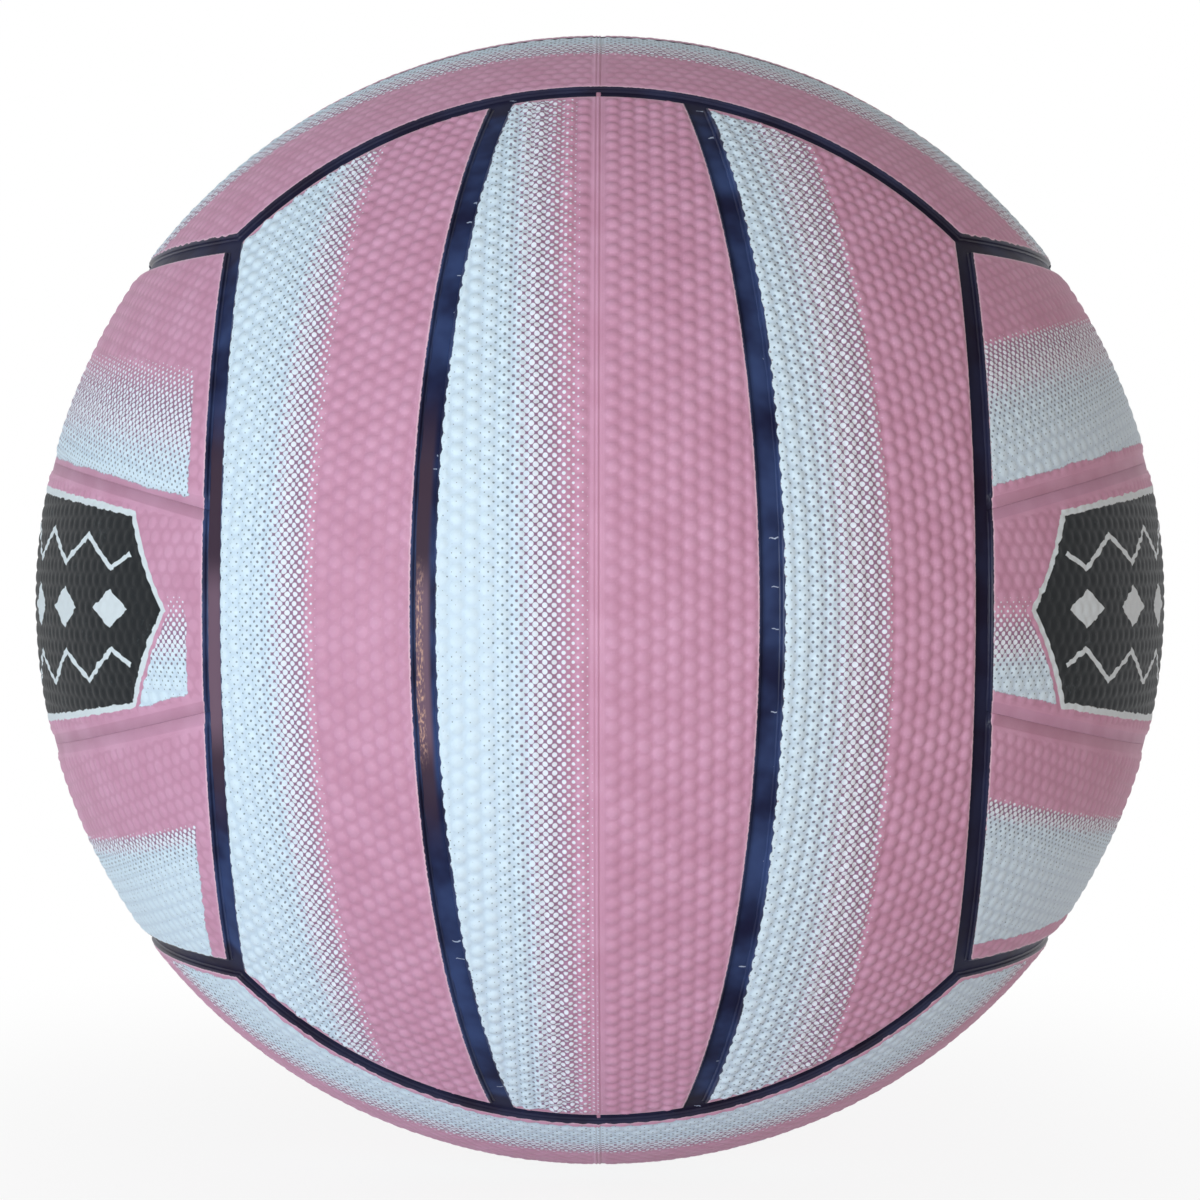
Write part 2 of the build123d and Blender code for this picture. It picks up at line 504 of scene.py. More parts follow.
# What makes no two pebbles alike: how far they stray, how small the smallest is and how much larger
# the largest, and the turns of a sine for a column, a row and half a pebble that scatter both
PEBBLE_STRAY = 0.1 * MM
STRAY_TURNS = (5.3, 3.1, 1.7)
SMALLEST_PEBBLE = 0.8
PEBBLE_GROWTH = 0.3
SIZE_TURNS = (12.99, 78.23, 37.72)
SIZE_SPREAD = 437.58

# The grid that a panel is cut from: the middle line of an outer panel, half its width and length,
# and how far the grid of an outer panel leans away from the middle panel
OUTER_STRIP_ANGLE = radians(25)
STRIP_HALF_WIDTH = {-1: 27 * MM, 0: 28.5 * MM, 1: 27 * MM}
STRIP_HALF_LENGTH = 105 * MM
STRIP_LEAN = 3 * PEBBLE_COLUMN

# The rounded edge of a panel, the foot that runs out on the carcass, the thin web that closes the
# seams inside the two side faces, and the bonded face
RIM_RADIUS = 0.5 * MM
FOOT_RADIUS = 0.35 * MM
FOOT_SUNK = 0.04 * MM
WEB_STEP = 0.22 * MM
WEB_GAP = 0.02 * MM
ROUND_STEPS = 4
BONDED_DEPTH = 1.25 * MM
BONDED_INSET = 1.5 * MM
BONDED_STEP = 4.5 * MM
RIM_LAYERS = ("lay", "start", "off", "web")
ON_EDGE = 20 * SAME_PLACE

# How far channel paint comes over a panel's edge: past it between the pebbles of the white side, and
# short of it elsewhere
PAINT_CREEP = 0.12 * MM
PAINT_WAVE = 0.36 * MM
PAINT_CLEAN = -0.15 * MM

# The parting line of the mould, on the plane of the valve: the way across it on each face's panels,
# its ridges and groove, each with its place across the line, its half width and its height, and the
# band that it clears of pebbles
PARTING_WAYS = {"front": (1, 0, 0), "back": (1, 0, 0), "top": (0, 1, 0), "bottom": (0, 1, 0)}
PARTING_RIDGES = (
    (-0.6 * MM, 0.4 * MM, 0.16 * MM),
    (0.05 * MM, 0.3 * MM, 0.18 * MM),
    (0.43 * MM, 0.16 * MM, -0.1 * MM),
)
PARTING_BAND = (0.9 * MM, 1.4 * MM)
PARTING_STEP = PEBBLE_COLUMN / PEBBLE_STEPS / 3
PARTING_CUTS = 6
PARTING_NEAR = 1 * MM

# The opening for the valve, in a smooth disc with a raised ring, in the middle of the back
VALVE_OPENING = 3.8 * MM
VALVE_DISC = (6.6 * MM, 7.4 * MM)
VALVE_RING = (6.0 * MM, 0.55 * MM, 0.22 * MM)
VALVE_BONDED_HOLE = 6.5 * MM
VALVE_PLACE = ("back", 0)

# A panel's flat map, in shares of its width and height: where the first half starts, how wide a half
# is, how far on the next one lies, the bonded face's start and width, and where all start from below
MAP_LEFT = 0.005
MAP_HALF_WIDTH = 0.445
MAP_NEXT_HALF = 0.46
MAP_BONDED = 0.93
MAP_BONDED_WIDTH = 0.06
MAP_LOW = 0.004
MAP_HEIGHT = 0.992


def strip_edges(side):
    """A panel's lower and upper long edges and its ends, as planes that the panel lies behind.

    The face looks along +Z, its panels run along Y, and side is -1, 0 or 1 across it."""
    seam = {way: Vector((way * cos(SEAM_ANGLE), 0, -sin(SEAM_ANGLE))) for way in (-1, 1)}
    ends = (Vector((0, 0, -1)), -BALL_RADIUS * cos(FACE_ANGLE - CHANNEL_ANGLE))
    if side == 0:
        return (seam[-1], -CHANNEL_WIDTH / 2), (seam[1], -CHANNEL_WIDTH / 2), ends
    inner = (-seam[side], -CHANNEL_WIDTH / 2)
    outer = (Vector((side, 0, 0)), BALL_RADIUS * cos(FACE_ANGLE + CHANNEL_ANGLE))
    return (inner, outer, ends) if side > 0 else (outer, inner, ends)


def inset_plane(edge, inset):
    """An edge's plane, moved into the panel by a distance along the ball."""
    normal, offset = edge
    return normal, BALL_RADIUS * sin(asin(offset / BALL_RADIUS) - inset / BALL_RADIUS)


def strip_sheet(side, step_across, step_along, inset):
    """A grid laid on the ball and cut along the panel's edges, less an inset."""
    columns = 2 * ceil(STRIP_HALF_WIDTH[side] / step_across)
    rows = 2 * ceil(STRIP_HALF_LENGTH / step_along)
    sheet = bmesh.new()
    bmesh.ops.create_grid(sheet, x_segments=columns, y_segments=rows, size=0.5)
    for vert in sheet.verts:
        latitude = vert.co.y * rows * step_along / BALL_RADIUS
        across = vert.co.x * columns * step_across + side * STRIP_LEAN
        longitude = side * OUTER_STRIP_ANGLE + across / BALL_RADIUS / cos(latitude)
        flat = BALL_RADIUS * cos(latitude)
        vert.co = (flat * sin(longitude), BALL_RADIUS * sin(latitude), flat * cos(longitude))
    for edge in strip_edges(side):
        cut_away(sheet, *inset_plane(edge, inset))
    return sheet


def cut_parting_line(sheet, way):
    """Adds rows of points beside the parting line, for its ridges."""
    for cut in range(-PARTING_CUTS, PARTING_CUTS + 1):
        place = way * cut * PARTING_STEP
        gaps = [abs((face.calc_center_median() - place) @ way) for face in sheet.faces]
        near = [face for face, gap in zip(sheet.faces, gaps) if gap < PARTING_NEAR]
        edges = {edge for face in near for edge in face.edges}
        verts = {vert for face in near for vert in face.verts}
        geom = near + list(edges) + list(verts)
        bmesh.ops.bisect_plane(sheet, geom=geom, dist=SAME_PLACE, plane_co=place, plane_no=way)


def from_valve(place):
    """How far along the ball a point lies from the middle of its face."""
    return BALL_RADIUS * place.angle(Vector((0, 0, 1)))


def open_sheet(sheet, radius, snap):
    """Opens a round hole in the middle of a sheet, and with snap makes its rim a true circle."""
    inside = [vert for vert in sheet.verts if from_valve(vert.co) < radius]
    bmesh.ops.delete(sheet, geom=inside, context="VERTS")
    if snap:
        rim = {vert for edge in sheet.edges if edge.is_boundary for vert in edge.verts}
        for vert in rim:
            if from_valve(vert.co) < 2 * radius:
                flat = Vector((vert.co.x, vert.co.y, 0)).normalized() * radius
                flat.z = sqrt(BALL_RADIUS**2 - radius**2)
                vert.co = flat


def in_seam(side):
    """Which of a panel's edges, in the order of strip_edges, lie along the seams inside its face."""
    return side >= 0, side <= 0, False


def ways_off(place, planes, webbed):
    """The ways off the panel at a point of its rim, along the ball: over plain edges and over webs.

    At a corner, going one way keeps the distance from the other edge, so the edges are mitred."""
    up = place.normalized()
    ways = [
        ((normal - (normal @ up) * up).normalized(), web)
        for (normal, offset), web in zip(planes, webbed)
        if abs(normal @ place - offset) < ON_EDGE
    ]
    if not ways:
        # A point of the valve's opening, where the way off leads to the middle
        ways = [((Vector((0, 0, 1)) - up.z * up).normalized(), False)]
    if len(ways) == 2:
        (first, first_web), (second, second_web) = ways
        skew = first @ second
        square = 1 - skew**2
        ways = [((first - skew * second) / square, first_web)]
        ways.append(((second - skew * first) / square, second_web))
    plain = sum((way for way, web in ways if not web), Vector())
    return plain, sum((way for way, web in ways if web), Vector())


def quarter_turn(steps):
    """The sine and cosine of even steps of a quarter turn, after its start."""
    turns = [pi / 2 * step / steps for step in range(1, steps + 1)]
    return [(sin(turn), cos(turn)) for turn in turns]


def rim_profile(foot):
    """Steps off a panel's top, each so far out and down: the rounded rim, the wall and the foot."""
    steps = [(RIM_RADIUS * up, RIM_RADIUS * (1 - flat)) for up, flat in quarter_turn(ROUND_STEPS)]
    if not foot:
        return steps + [(RIM_RADIUS, BONDED_DEPTH - PEBBLE_HEIGHT)]
    wall = LAND_RADIUS - CARCASS_RADIUS + FOOT_SUNK - FOOT_RADIUS
    steps.append((RIM_RADIUS, wall))
    for up, flat in quarter_turn(ROUND_STEPS):
        steps.append((RIM_RADIUS + FOOT_RADIUS * (1 - flat), wall + FOOT_RADIUS * up))
    return steps


def web_profile():
    """Steps off a panel's top at a side face's seam: a low rounded step, the web and its wall."""
    reach = RIM_RADIUS + CHANNEL_WIDTH / 2 - WEB_GAP
    wall = LAND_RADIUS - CARCASS_RADIUS + FOOT_SUNK - WEB_STEP
    steps = [(RIM_RADIUS * up, WEB_STEP * (1 - flat)) for up, flat in quarter_turn(ROUND_STEPS)]
    steps.append((reach, WEB_STEP))
    return steps + [(reach, WEB_STEP + wall * step / ROUND_STEPS) for step in range(1, ROUND_STEPS + 1)]


def note_rim(panel, rim, planes, webbed):
    """Notes where each point of the rim is and which ways lead off the panel there."""
    start, off, web = [panel.verts.layers.float_vector[name] for name in RIM_LAYERS[1:]]
    for vert in {vert for edge in rim for vert in edge.verts}:
        vert[start] = vert.co.normalized()
        vert[off], vert[web] = ways_off(vert.co, planes, webbed)


def moved(start, shift):
    """A direction from the ball's centre, after a shift along the ball."""
    turn = shift.length / BALL_RADIUS
    return start * cos(turn) + shift.normalized() * sin(turn)


def extrude_rim(panel, rim, profile):
    """Takes a rim round and down its profile or over its web, and returns the last ring of edges.

    The lay of a point is where it would be if the panel's edge were rolled out flat on the ball."""
    lay, start, off, web = [panel.verts.layers.float_vector[name] for name in RIM_LAYERS]
    last, web_last = Vector((0, 0)), Vector((0, 0))
    length, web_length = 0, 0
    for step, web_step in zip(map(Vector, profile), map(Vector, web_profile())):
        length += (step - last).length
        web_length += (web_step - web_last).length
        last, web_last = step, web_step
        made = bmesh.ops.extrude_edge_only(panel, edges=rim)["geom"]
        rim = [item for item in made if isinstance(item, bmesh.types.BMEdge)]
        for vert in [item for item in made if isinstance(item, bmesh.types.BMVert)]:
            down = step.y if vert[off].length else web_step.y
            vert.co = (LAND_RADIUS - down) * moved(vert[start], vert[off] * step.x + vert[web] * web_step.x)
            vert[lay] = moved(vert[start], vert[off] * length + vert[web] * web_length)
    return rim


def add_layers(sheet):
    """Notes each point's lay, and makes room for where it starts from and the ways off the panel."""
    for name in RIM_LAYERS:
        sheet.verts.layers.float_vector.new(name)
    lay = sheet.verts.layers.float_vector["lay"]
    for vert in sheet.verts:
        vert[lay] = vert.co.normalized()


def bonded_face(side, valve):
    """The coarse sheet under a panel, as a mesh."""
    sheet = strip_sheet(side, BONDED_STEP, BONDED_STEP, BONDED_INSET)
    if valve:
        open_sheet(sheet, VALVE_BONDED_HOLE, snap=False)
    add_layers(sheet)
    depth = 1 - BONDED_DEPTH / BALL_RADIUS
    bmesh.ops.scale(sheet, vec=(depth, depth, depth), verts=sheet.verts)
    for face in sheet.faces:
        face.material_index = 1
    return finished(sheet, "bonded_face")


def by_valve(edge):
    """True for an edge of the valve's opening, and False for one of the panel's own rim."""
    return from_valve(edge.verts[0].co) < 2 * VALVE_BONDED_HOLE


def panel_blank(side, parting, valve, webbed):
    """The mesh of a panel without its pebbles, closed by the face that is bonded to the carcass."""
    panel = strip_sheet(side, PEBBLE_COLUMN / PEBBLE_STEPS, PEBBLE_PITCH / PEBBLE_STEPS, RIM_RADIUS)
    if parting:
        cut_parting_line(panel, Vector(parting))
    if valve:
        open_sheet(panel, VALVE_OPENING + RIM_RADIUS, snap=True)
    add_layers(panel)
    planes = [inset_plane(edge, RIM_RADIUS) for edge in strip_edges(side)]
    rims = [edge for edge in panel.edges if edge.is_boundary]
    note_rim(panel, rims, planes, in_seam(side) if webbed else (False, False, False))
    land = LAND_RADIUS / BALL_RADIUS
    bmesh.ops.scale(panel, vec=(land, land, land), verts=panel.verts)
    under = bonded_face(side, valve)
    panel.from_mesh(under)
    bpy.data.meshes.remove(under)
    known = set(rims)
    inner_rims = [edge for edge in panel.edges if edge.is_boundary and edge not in known]
    for opening in (False, True) if valve else (False,):
        rim = [edge for edge in rims if by_valve(edge) == opening]
        inner = [edge for edge in inner_rims if by_valve(edge) == opening]
        last = extrude_rim(panel, rim, rim_profile(foot=not opening))
        for face in bmesh.ops.bridge_loops(panel, edges=last + inner)["faces"]:
            face.material_index = 1
    bmesh.ops.recalc_face_normals(panel, faces=panel.faces)
    return finished(panel, "panel_blank")


def numbers(items, name, width):
    """One property of all of a mesh's items, as an array."""
    values = np.empty(len(items) * width, np.float32)
    items.foreach_get(name, values)
    return values.reshape(-1, width) if width > 1 else values


def eased(values, low, high):
    """0 below low, 1 above high, and a smooth rise between them."""
    share = np.clip((values - low) / (high - low), 0, 1)
    return share * share * (3 - 2 * share)


def ridge(places, middle, half_width, height):
    """A rounded ridge, or a groove where its height is below zero."""
    return height * np.clip(1 - ((places - middle) / half_width) ** 2, 0, 1) ** 2


def scattered(column, row, half, turns):
    """A number from -1 to 1 that looks random, but is fixed by a pebble's place."""
    return np.sin(column * turns[0] + row * turns[1] + half * turns[2])


def pebbles(across, along):
    """The pebbles' height at each point, from 0 to about 1, no two quite alike."""
    height = np.zeros_like(across)
    for half in (0, 1):
        column = np.round(across / PEBBLE_COLUMN / 2 - half / 2)
        row = np.round(along / PEBBLE_PITCH - half / 2)
        stray = PEBBLE_STRAY * scattered(column, row, half, STRAY_TURNS)
        off_column = across - (2 * column + half) * PEBBLE_COLUMN - stray
        off_row = along - (row + half / 2) * PEBBLE_PITCH + stray
        span = (off_column**2 + off_row**2) / PEBBLE_RADIUS**2
        chance = scattered(column, row, half, SIZE_TURNS) * SIZE_SPREAD
        size = SMALLEST_PEBBLE + PEBBLE_GROWTH * (chance - np.floor(chance))
        height = np.maximum(height, size * np.clip(1 - span**PEBBLE_CURVE, 0, 1))
    return height


def give_vectors(mesh, name, columns):
    """Stores three columns of numbers on a mesh's points."""
    made = mesh.attributes.new(name, "FLOAT_VECTOR", "POINT")
    made.data.foreach_set("vector", np.column_stack(columns).astype(np.float32).ravel())


def lay_out_map(mesh, across, along):
    """A flat map for the panel: its two halves side by side, and its bonded face beside them."""
    corners = numbers(mesh.loops, "vertex_index", 1).astype(int)
    counts = numbers(mesh.polygons, "loop_total", 1).astype(int)
    firsts = numbers(mesh.polygons, "loop_start", 1).astype(int)
    bonded = np.repeat(numbers(mesh.polygons, "material_index", 1) == 1, counts)
    upper = np.repeat(np.add.reduceat(along[corners], firsts) > 0, counts)
    wide = (across[corners] - across.min()) / np.ptp(across)
    high = along[corners] / np.abs(along).max()
    places = np.empty((len(corners), 2), np.float32)
    halves = MAP_LEFT + MAP_HALF_WIDTH * wide + MAP_NEXT_HALF * upper
    places[:, 0] = np.where(bonded, MAP_BONDED + MAP_BONDED_WIDTH * wide, halves)
    places[:, 1] = np.where(bonded, (1 + high) / 2, np.where(upper, high, 1 + high))
    places[:, 1] = MAP_LOW + MAP_HEIGHT * places[:, 1]
    mesh.uv_layers.new(name="OFBake").data.foreach_set("uv", places.ravel())


def print_tone(latitude, longitude, face, side):
    """How white the print is at each point, from 0 to 1."""
    white_side, *_, moves = PRINTS[face]
    start, stop, lean, tones = OWN_FADES.get((face, side), FADES[-white_side * side])
    across = BALL_RADIUS * np.cos(latitude) * (longitude - side * SEAM_ANGLE) * -white_side
    across = across - lean * BALL_RADIUS * latitude - moves[side + 1] * MM
    shares, values = zip(*tones)
    return np.interp((across - start) / (stop - start), shares, values)


def dress_panel(mesh, face, side):
    """Raises the pebbles and ridges of a panel's mesh, and notes where its print and paint go."""
    outwards, across_way, _ = FACES[face]
    white_side, end_border, slid, white_borders, _ = PRINTS[face]
    turn = Matrix((across_way, Vector(outwards).cross(across_way), outwards)).transposed()
    points = numbers(mesh.vertices, "co", 3).astype(float)
    lay = numbers(mesh.attributes["lay"].data, "vector", 3).astype(float)
    radius = np.linalg.norm(points, axis=1)
    top = radius > LAND_RADIUS - ON_LAND
    latitude = np.arcsin(np.clip(lay[:, 1], -1, 1))
    longitude = np.arctan2(lay[:, 0], lay[:, 2])
    along = BALL_RADIUS * latitude
    across = BALL_RADIUS * np.cos(latitude) * (longitude - side * OUTER_STRIP_ANGLE)
    low, high, ends = [
        BALL_RADIUS * (asin(offset / BALL_RADIUS) - np.arcsin(np.clip(lay @ np.array(normal), -1, 1)))
        for normal, offset in strip_edges(side)
    ]

    from_rim = np.minimum.reduce((low, high, ends)) - RIM_RADIUS
    pebble = pebbles(across, along)
    pebbled = eased(from_rim, *PEBBLE_START)
    height = np.zeros_like(across)
    if face in PARTING_WAYS:
        parting = BALL_RADIUS * (lay @ np.array(turn).T)[:, 0]
        pebbled *= eased(np.abs(parting), *PARTING_BAND)
        for middle, half_width, rise_by in PARTING_RIDGES:
            height += ridge(parting, middle, half_width, rise_by)
        height *= eased(from_rim, 0, RIM_RADIUS)
    if (face, side) == VALVE_PLACE:
        valve = BALL_RADIUS * np.arccos(np.clip(lay[:, 2], -1, 1))
        pebbled *= eased(valve, *VALVE_DISC)
        height = height * eased(valve, *VALVE_DISC) + ridge(valve, *VALVE_RING)
    full_height = PEBBLE_HEIGHT if face in UPRIGHT_FACES else LOW_PEBBLES * PEBBLE_HEIGHT
    height += full_height * pebble * pebbled
    points *= (1 + np.where(top, height, 0) / radius)[:, None]
    mesh.vertices.foreach_set("co", points.astype(np.float32).ravel())

    crept = PAINT_CREEP - PAINT_WAVE * pebble
    creep = [crept if way == white_side else PAINT_CLEAN for way in (-1, 1)]
    creep.append(crept if face == "top" else PAINT_CLEAN)
    painted = [gap - over for gap, over in zip((low, high, ends), creep)]
    if face in SIDE_FACES:
        painted = [gap for gap, seam in zip(painted, in_seam(side)) if not seam]
    paint = np.minimum.reduce(painted) - RIM_RADIUS
    print_ends = ends - (end_border - np.sign(along) * slid) * MM
    white_edge = low if white_side < 0 else high
    border = np.minimum(print_ends, white_edge - white_borders[side + 1] * MM)
    tone = print_tone(latitude, longitude, face, side)
    give_vectors(mesh, "print_place", (across / MM, along / MM, tone))
    give_vectors(mesh, "paint_place", (paint / MM, np.where(top, (1 - pebble) * pebbled, 0), border / MM))
    for name in RIM_LAYERS:
        mesh.attributes.remove(mesh.attributes[name])
    lay_out_map(mesh, across, along)
    mesh.transform(turn.to_4x4())
    mesh.shade_smooth()


PINK = display(209, 159, 189)
PINK_DEEP = display(196, 143, 172)
# Pink painted darker in the valleys between the pebbles, as painted shade
VALLEY_SHADE_PINK = display(186, 133, 161)
VALLEY_SHADE_RANGE = (0.4, 1)
VALLEY_SHADE_SHARE = 0.55
BONDED_PINK = (196, 146, 172)
BONDED_DUST = (184, 140, 160)
RUBBER_SHINE = 0.15
RUBBER_ROUGH = (0.12, 0.5)
PAINTED_ROUGH = 0.33

# The print, in millimetres: its screen of dots, the tone at which white dots on pink give way to pink
# ones on white, and its ink, which is brighter in the dots and stands up a little from the rubber
SCREEN_REPEAT = 1.5
CELL_MIDDLE = (0.5, 0.5, 0)
HALF_CELL = 0.5
DOTS_MEET = 0.785
MEET_BLUR = 0.04
DOT_BLUR = 0.07
WHITE_INK = display(213, 231, 246)
# The white ink painted darker in the valleys between the pebbles, as painted shade
WHITE_VALLEY_SHADE = display(191, 210, 230)
WHITE_DOT = display(232, 236, 248)
DOT_TONES = (0.6, 0.85)
DOT_SHARE = 0.8
INK_RELIEF = 0.35

# The tones over which the pink between the dots turns dull, and then grey
BETWEEN_DOTS = (
    ((0.1, 0.6), display(140, 108, 138)),
    ((0.7, 0.92), display(118, 134, 148)),
)

# The noise in the print, in waves to a millimetre, and how far the print and its border follow it
DRIFT = 0.12
GRIT = 1.3
GRAIN = 2.2
PINK_DRIFT = 0.3
PRINT_DRIFT = 0.15
PRINT_GRIT = 0.25
BORDER_DRIFT = 1.6
BORDER_BLUR = 0.15

# Black specks in the rubber, and the pale painted highlight and ragged paint along a panel's edges
SPECK = display(45, 45, 55)
SPECK_CELLS = 0.021
SPECK_RAGGED = 0.01
SPECK_RADIUS = (0.004, 0.008)
EDGE_HIGHLIGHT = display(236, 212, 226)
HIGHLIGHT_REACH = (0.12, 0.35)
HIGHLIGHT_WHITE = (0, 0.5)
HIGHLIGHT_SHARE = 0.5
PAINT_RAGGED = -0.4
PAINT_BLUR = 0.06

# The badge on the middle panels of the sides, in millimetres: half its width, its half length at the
# middle and how fast it narrows, its outline and the margin inside it, and the size and spacing of
# its zigzags and diamonds
BLACK_INK = display(24, 28, 32)
RUBBED_INK = display(52, 58, 62)
RUBBED_RANGE = (0.15, 0.4)
BADGE_WHITE = display(212, 222, 230)
BADGE_HALF_WIDTH = 22.0
BADGE_REACH = 94
BADGE_TAPER = 0.5
BADGE_LINE = 1.4
BADGE_KEYLINE = 1.1
BADGE_MARGIN = 3
BADGE_BLUR = 0.1
BADGE_WAVER = 0.5
ZIGZAG_PLACE = 12.5
ZIGZAG_SWING = 6.5
ZIGZAG_LENGTH = 9.8
DIAMOND_SIZE = 4.5
DIAMOND_SLOPE = 0.75


def attribute_parts(tree, name):
    """The three parts of what a mesh's points hold."""
    return parts_of(tree, add_node(tree, "Attribute", {}, attribute_name=name).outputs["Vector"])


def dot_distance(tree, across, along, shift):
    """How far a point lies from the nearest dot of the screen, in pitches of the dots."""
    diagonals = [maths(tree, way, across, along) for way in ("ADD", "SUBTRACT")]
    turned = [maths(tree, "MULTIPLY_ADD", diagonal, 1 / SCREEN_REPEAT, shift) for diagonal in diagonals]
    cell = vectors(tree, "FRACTION", flat_place(tree, *turned)).outputs[0]
    return vectors(tree, "DISTANCE", cell, CELL_MIDDLE).outputs["Value"]


def dot_radius(tree, share):
    """The radius of a dot that covers a share of its cell, in pitches of the dots."""
    return maths(tree, "SQRT", maths(tree, "DIVIDE", share, pi))


def dot_fade(tree, across, along, tone):
    """How white the screen print is: white dots on pink, and pink ones on white past their meeting."""
    white_dot = maths(tree, "SUBTRACT", dot_radius(tree, tone), dot_distance(tree, across, along, 0))
    pink_radius = dot_radius(tree, maths(tree, "SUBTRACT", 1, tone))
    pink_dot = maths(tree, "SUBTRACT", dot_distance(tree, across, along, HALF_CELL), pink_radius)
    edge = mixed(tree, past(tree, tone, DOTS_MEET, MEET_BLUR), white_dot, pink_dot)
    return past(tree, edge, 0, DOT_BLUR)


def before(tree, value, limit, blur):
    """1 before a limit and 0 past it, with a soft edge."""
    return drop(tree, value, limit - blur, limit + blur)


def badge_marks(tree, across, along, waver):
    """Where a side badge is inked, where it is white, and where its panel is clear of it.

    White are its outline, two zigzags and the diamonds. It narrows with its panel towards the ends."""
    narrow = maths(tree, "COSINE", product(tree, along, MM / BALL_RADIUS))
    u = maths(tree, "ABSOLUTE", maths(tree, "DIVIDE", maths(tree, "ADD", across, waver), narrow))
    v = maths(tree, "ABSOLUTE", maths(tree, "ADD", along, waver))
    taper = maths(tree, "SUBTRACT", swung(tree, u, BADGE_TAPER, v), BADGE_REACH)
    outside = maths(tree, "MAXIMUM", maths(tree, "SUBTRACT", u, BADGE_HALF_WIDTH), taper)
    swing = maths(tree, "DIVIDE", maths(tree, "PINGPONG", v, ZIGZAG_LENGTH), ZIGZAG_LENGTH)
    line = swung(tree, swing, ZIGZAG_SWING, ZIGZAG_PLACE - ZIGZAG_SWING / 2)
    zigzag = maths(tree, "ABSOLUTE", maths(tree, "SUBTRACT", u, line))
    diamond = swung(tree, swing, ZIGZAG_LENGTH * DIAMOND_SLOPE, u)
    diamond = maths(tree, "SUBTRACT", diamond, DIAMOND_SIZE)
    mark = maths(tree, "MINIMUM", maths(tree, "SUBTRACT", zigzag, BADGE_LINE / 2), diamond)
    within = before(tree, outside, -BADGE_MARGIN, BADGE_BLUR)
    mark = product(tree, before(tree, mark, 0, BADGE_BLUR), within)
    marked = maths(tree, "MAXIMUM", mark, past(tree, outside, 0, BADGE_BLUR))
    inked = before(tree, outside, BADGE_LINE, BADGE_BLUR)
    return inked, marked, past(tree, outside, BADGE_LINE + BADGE_KEYLINE + BADGE_BLUR, BADGE_BLUR)


def printed_rubber(name, badge):
    """Pink pebbled rubber with a white print that fades in dots, and channel paint over its edges, with
    painted shade in the pebbles' valleys and a painted highlight beside the paint.
    """
    material, tree, shader = new_material(name)
    across, along, tone = attribute_parts(tree, "print_place")
    edge, hollow, border = attribute_parts(tree, "paint_place")
    place = flat_place(tree, across, along)
    drift = cloudy(tree, place, DRIFT)
    grit = cloudy(tree, place, GRIT, GRAIN_DETAIL)

    strength = swung(tree, grit, PRINT_GRIT, swung(tree, drift, PRINT_DRIFT, 1))
    printed = maths(tree, "MINIMUM", product(tree, tone, strength), 1)
    white = dot_fade(tree, across, along, printed)
    ragged = swung(tree, drift, BORDER_DRIFT, maths(tree, "ADD", border, grit))
    inside = past(tree, ragged, 0, BORDER_BLUR)
    if badge:
        inked, marked, clear = badge_marks(tree, across, along, cloudy(tree, place, BADGE_WAVER))
        inside = product(tree, inside, clear)
    white = product(tree, white, inside)
    # Painted shade in the valleys between the pebbles, on the pink and on the ink
    valley_shade = product(tree, rise(tree, hollow, *VALLEY_SHADE_RANGE), VALLEY_SHADE_SHARE)
    pink = blended(tree, past(tree, drift, 0, PINK_DRIFT), PINK_DEEP, PINK)
    pink = blended(tree, valley_shade, pink, VALLEY_SHADE_PINK)
    for tones, tint in BETWEEN_DOTS:
        pink = blended(tree, product(tree, rise(tree, tone, *tones), inside), pink, tint)
    ink = blended(tree, valley_shade, WHITE_INK, WHITE_VALLEY_SHADE)
    ink = blended(tree, product(tree, drop(tree, tone, *DOT_TONES), DOT_SHARE), ink, WHITE_DOT)
    colour = blended(tree, white, pink, ink)
    if badge:
        rubbed = rise(tree, maths(tree, "ADD", grit, drift), *RUBBED_RANGE)
        badge_ink = blended(tree, rubbed, BLACK_INK, RUBBED_INK)
        badge_ink = blended(tree, marked, badge_ink, BADGE_WHITE)
        colour = blended(tree, inked, colour, badge_ink)
    specks = add_node(tree, "TexVoronoi", {"Vector": place, "Scale": SPECK_CELLS}).outputs["Distance"]
    speck = drop(tree, swung(tree, grit, SPECK_RAGGED, specks), *SPECK_RADIUS)
    colour = blended(tree, speck, colour, SPECK)

    bared = swung(tree, grit, PAINT_RAGGED, edge)
    # A pale line painted along the rim as a highlight, beside the paint and off the white print
    edge_highlight = product(tree, drop(tree, bared, *HIGHLIGHT_REACH), drop(tree, white, *HIGHLIGHT_WHITE), HIGHLIGHT_SHARE)
    colour = blended(tree, edge_highlight, colour, EDGE_HIGHLIGHT)
    painted = before(tree, bared, 0, PAINT_BLUR)
    colour = blended(tree, painted, colour, paint_colour(tree))
    rough = mixed(tree, painted, swung(tree, grit, *RUBBER_ROUGH), PAINTED_ROUGH)
    relief = swung(tree, white, INK_RELIEF, cloudy(tree, place, GRAIN, DUST_DETAIL))
    finish_surface(tree, shader, colour, rough, relief, PAINT_DEPTH)
    shader.inputs["Specular IOR Level"].default_value = RUBBER_SHINE
    return material


